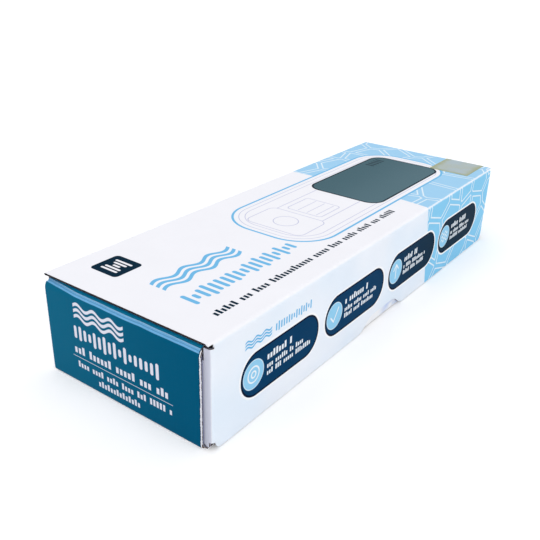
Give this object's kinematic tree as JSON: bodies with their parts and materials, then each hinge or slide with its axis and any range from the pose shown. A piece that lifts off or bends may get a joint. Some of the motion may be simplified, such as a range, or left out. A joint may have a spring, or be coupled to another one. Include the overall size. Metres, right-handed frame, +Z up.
{
  "type": "boxed condensate pump",
  "caption": "Mini condensate pump kit packed in its printed tuck-end carton: long low folded board box with a thumb notch, hinged end closure and taped far end.",
  "frame": {"origin": "middle of the carton's underside, on the surface it stands on", "axes": "+X along the carton, from the end that opens towards the taped end; -Y towards the side panel with the thumb notch; +Z up"},
  "size_m": [0.3852, 0.131, 0.0682],
  "materials": {
    "printed_board": "white clay-coated micro-flute board with a matt varnished print",
    "closure_board": "micro-flute board with a dark teal matt print",
    "plain_board": "unprinted white outer liner",
    "kraft_board": "brown kraft single-wall board",
    "tape": "clear packing tape, slightly yellowed",
    "casing_plastic": "fine spark-eroded white plastic",
    "tank_plastic": "translucent moulded plastic",
    "black_plastic": "moulded black plastic",
    "soft_rubber": "soft black rubber",
    "zinc_steel": "bright zinc plate",
    "iron": "dark passivated iron",
    "copper": "enamelled copper wire",
    "brass_tube": "drawn brass",
    "magnet": "sintered ferrite",
    "circuit": "solder-masked circuit board",
    "float_foam": "closed-cell foam",
    "filter_mesh": "blue moulded grille",
    "paper": "folded printed paper",
    "plug_plastic": "moulded nylon"
  },
  "bodies": {
    "carton": {"top_panel": "printed_board", "bottom_panel": "plain_board", "left_side_panel": "printed_board", "right_side_panel": "printed_board", "glue_lap": "plain_board", "far_closure": "closure_board", "far_tuck_tab": "closure_board", "far_left_dust_flap": "plain_board", "far_right_dust_flap": "plain_board", "tape_seal": "tape", "fitment_tray": "kraft_board", "fitment_near_end": "kraft_board", "fitment_far_end": "kraft_board", "fitment_divider": "kraft_board", "pump_casing_base": "casing_plastic", "pump_cover": "casing_plastic", "cover_screws": "zinc_steel", "rubber_feet": "soft_rubber", "reservoir": "tank_plastic", "reservoir_lid": "black_plastic", "inlet_filter": "filter_mesh", "sensor_board": "circuit", "inlet_valve": "black_plastic", "outlet_valve": "black_plastic", "cartridge_gaskets": "soft_rubber", "piston_tube": "brass_tube", "suction_spring": "zinc_steel", "discharge_spring": "zinc_steel", "coil_bobbin": "black_plastic", "coil_winding": "copper", "iron_yoke": "iron", "cartridge_mounts": "soft_rubber", "outlet_barb": "black_plastic", "suction_duct": "tank_plastic", "control_board": "circuit", "terminal_block": "black_plastic", "cable_gland": "soft_rubber", "wall_plate": "zinc_steel", "wall_plugs": "plug_plastic", "wall_screws": "zinc_steel", "inlet_adaptor": "soft_rubber", "instruction_leaflet": "paper"},
    "closure": {"near_closure": "closure_board"},
    "tuck_tab": {"near_tuck_tab": "closure_board"},
    "left_dust_flap": {"near_left_dust_flap": "plain_board"},
    "right_dust_flap": {"near_right_dust_flap": "plain_board"},
    "level_float": {"float_body": "float_foam", "float_magnet": "magnet"},
    "plunger": {"piston": "zinc_steel"}
  },
  "joints": [
    {"name": "closure_hinge", "type": "hinge", "parent": "carton", "child": "closure", "pos_m": [-0.19174, 0, 0.00076], "axis": [0, -1, 0], "range_deg": [0, 90]},
    {"name": "tuck_tab_hinge", "type": "hinge", "parent": "closure", "child": "tuck_tab", "pos_m": [-0.18976, 0, 0.06146], "axis": [0, 1, 0], "range_deg": [0, 25]},
    {"name": "left_dust_flap_hinge", "type": "hinge", "parent": "carton", "child": "left_dust_flap", "pos_m": [-0.18974, 0.06474, 0.034], "axis": [0, 0, -1], "range_deg": [0, 40.5]},
    {"name": "right_dust_flap_hinge", "type": "hinge", "parent": "carton", "child": "right_dust_flap", "pos_m": [-0.18974, -0.06474, 0.034], "axis": [0, 0, 1], "range_deg": [0, 40.5]},
    {"name": "float_slide", "type": "slide", "parent": "carton", "child": "level_float", "axis": [0, 0, 1], "range_m": [0, 0.012]},
    {"name": "piston_slide", "type": "slide", "parent": "carton", "child": "plunger", "axis": [1, 0, 0], "range_m": [-0.003, 0.003], "stiffness_N_per_m": 400}
  ],
  "couplings": [
    {"joint": "left_dust_flap_hinge", "follows": "closure_hinge", "ratio": 0.45},
    {"joint": "right_dust_flap_hinge", "follows": "closure_hinge", "ratio": 0.45}
  ]
}
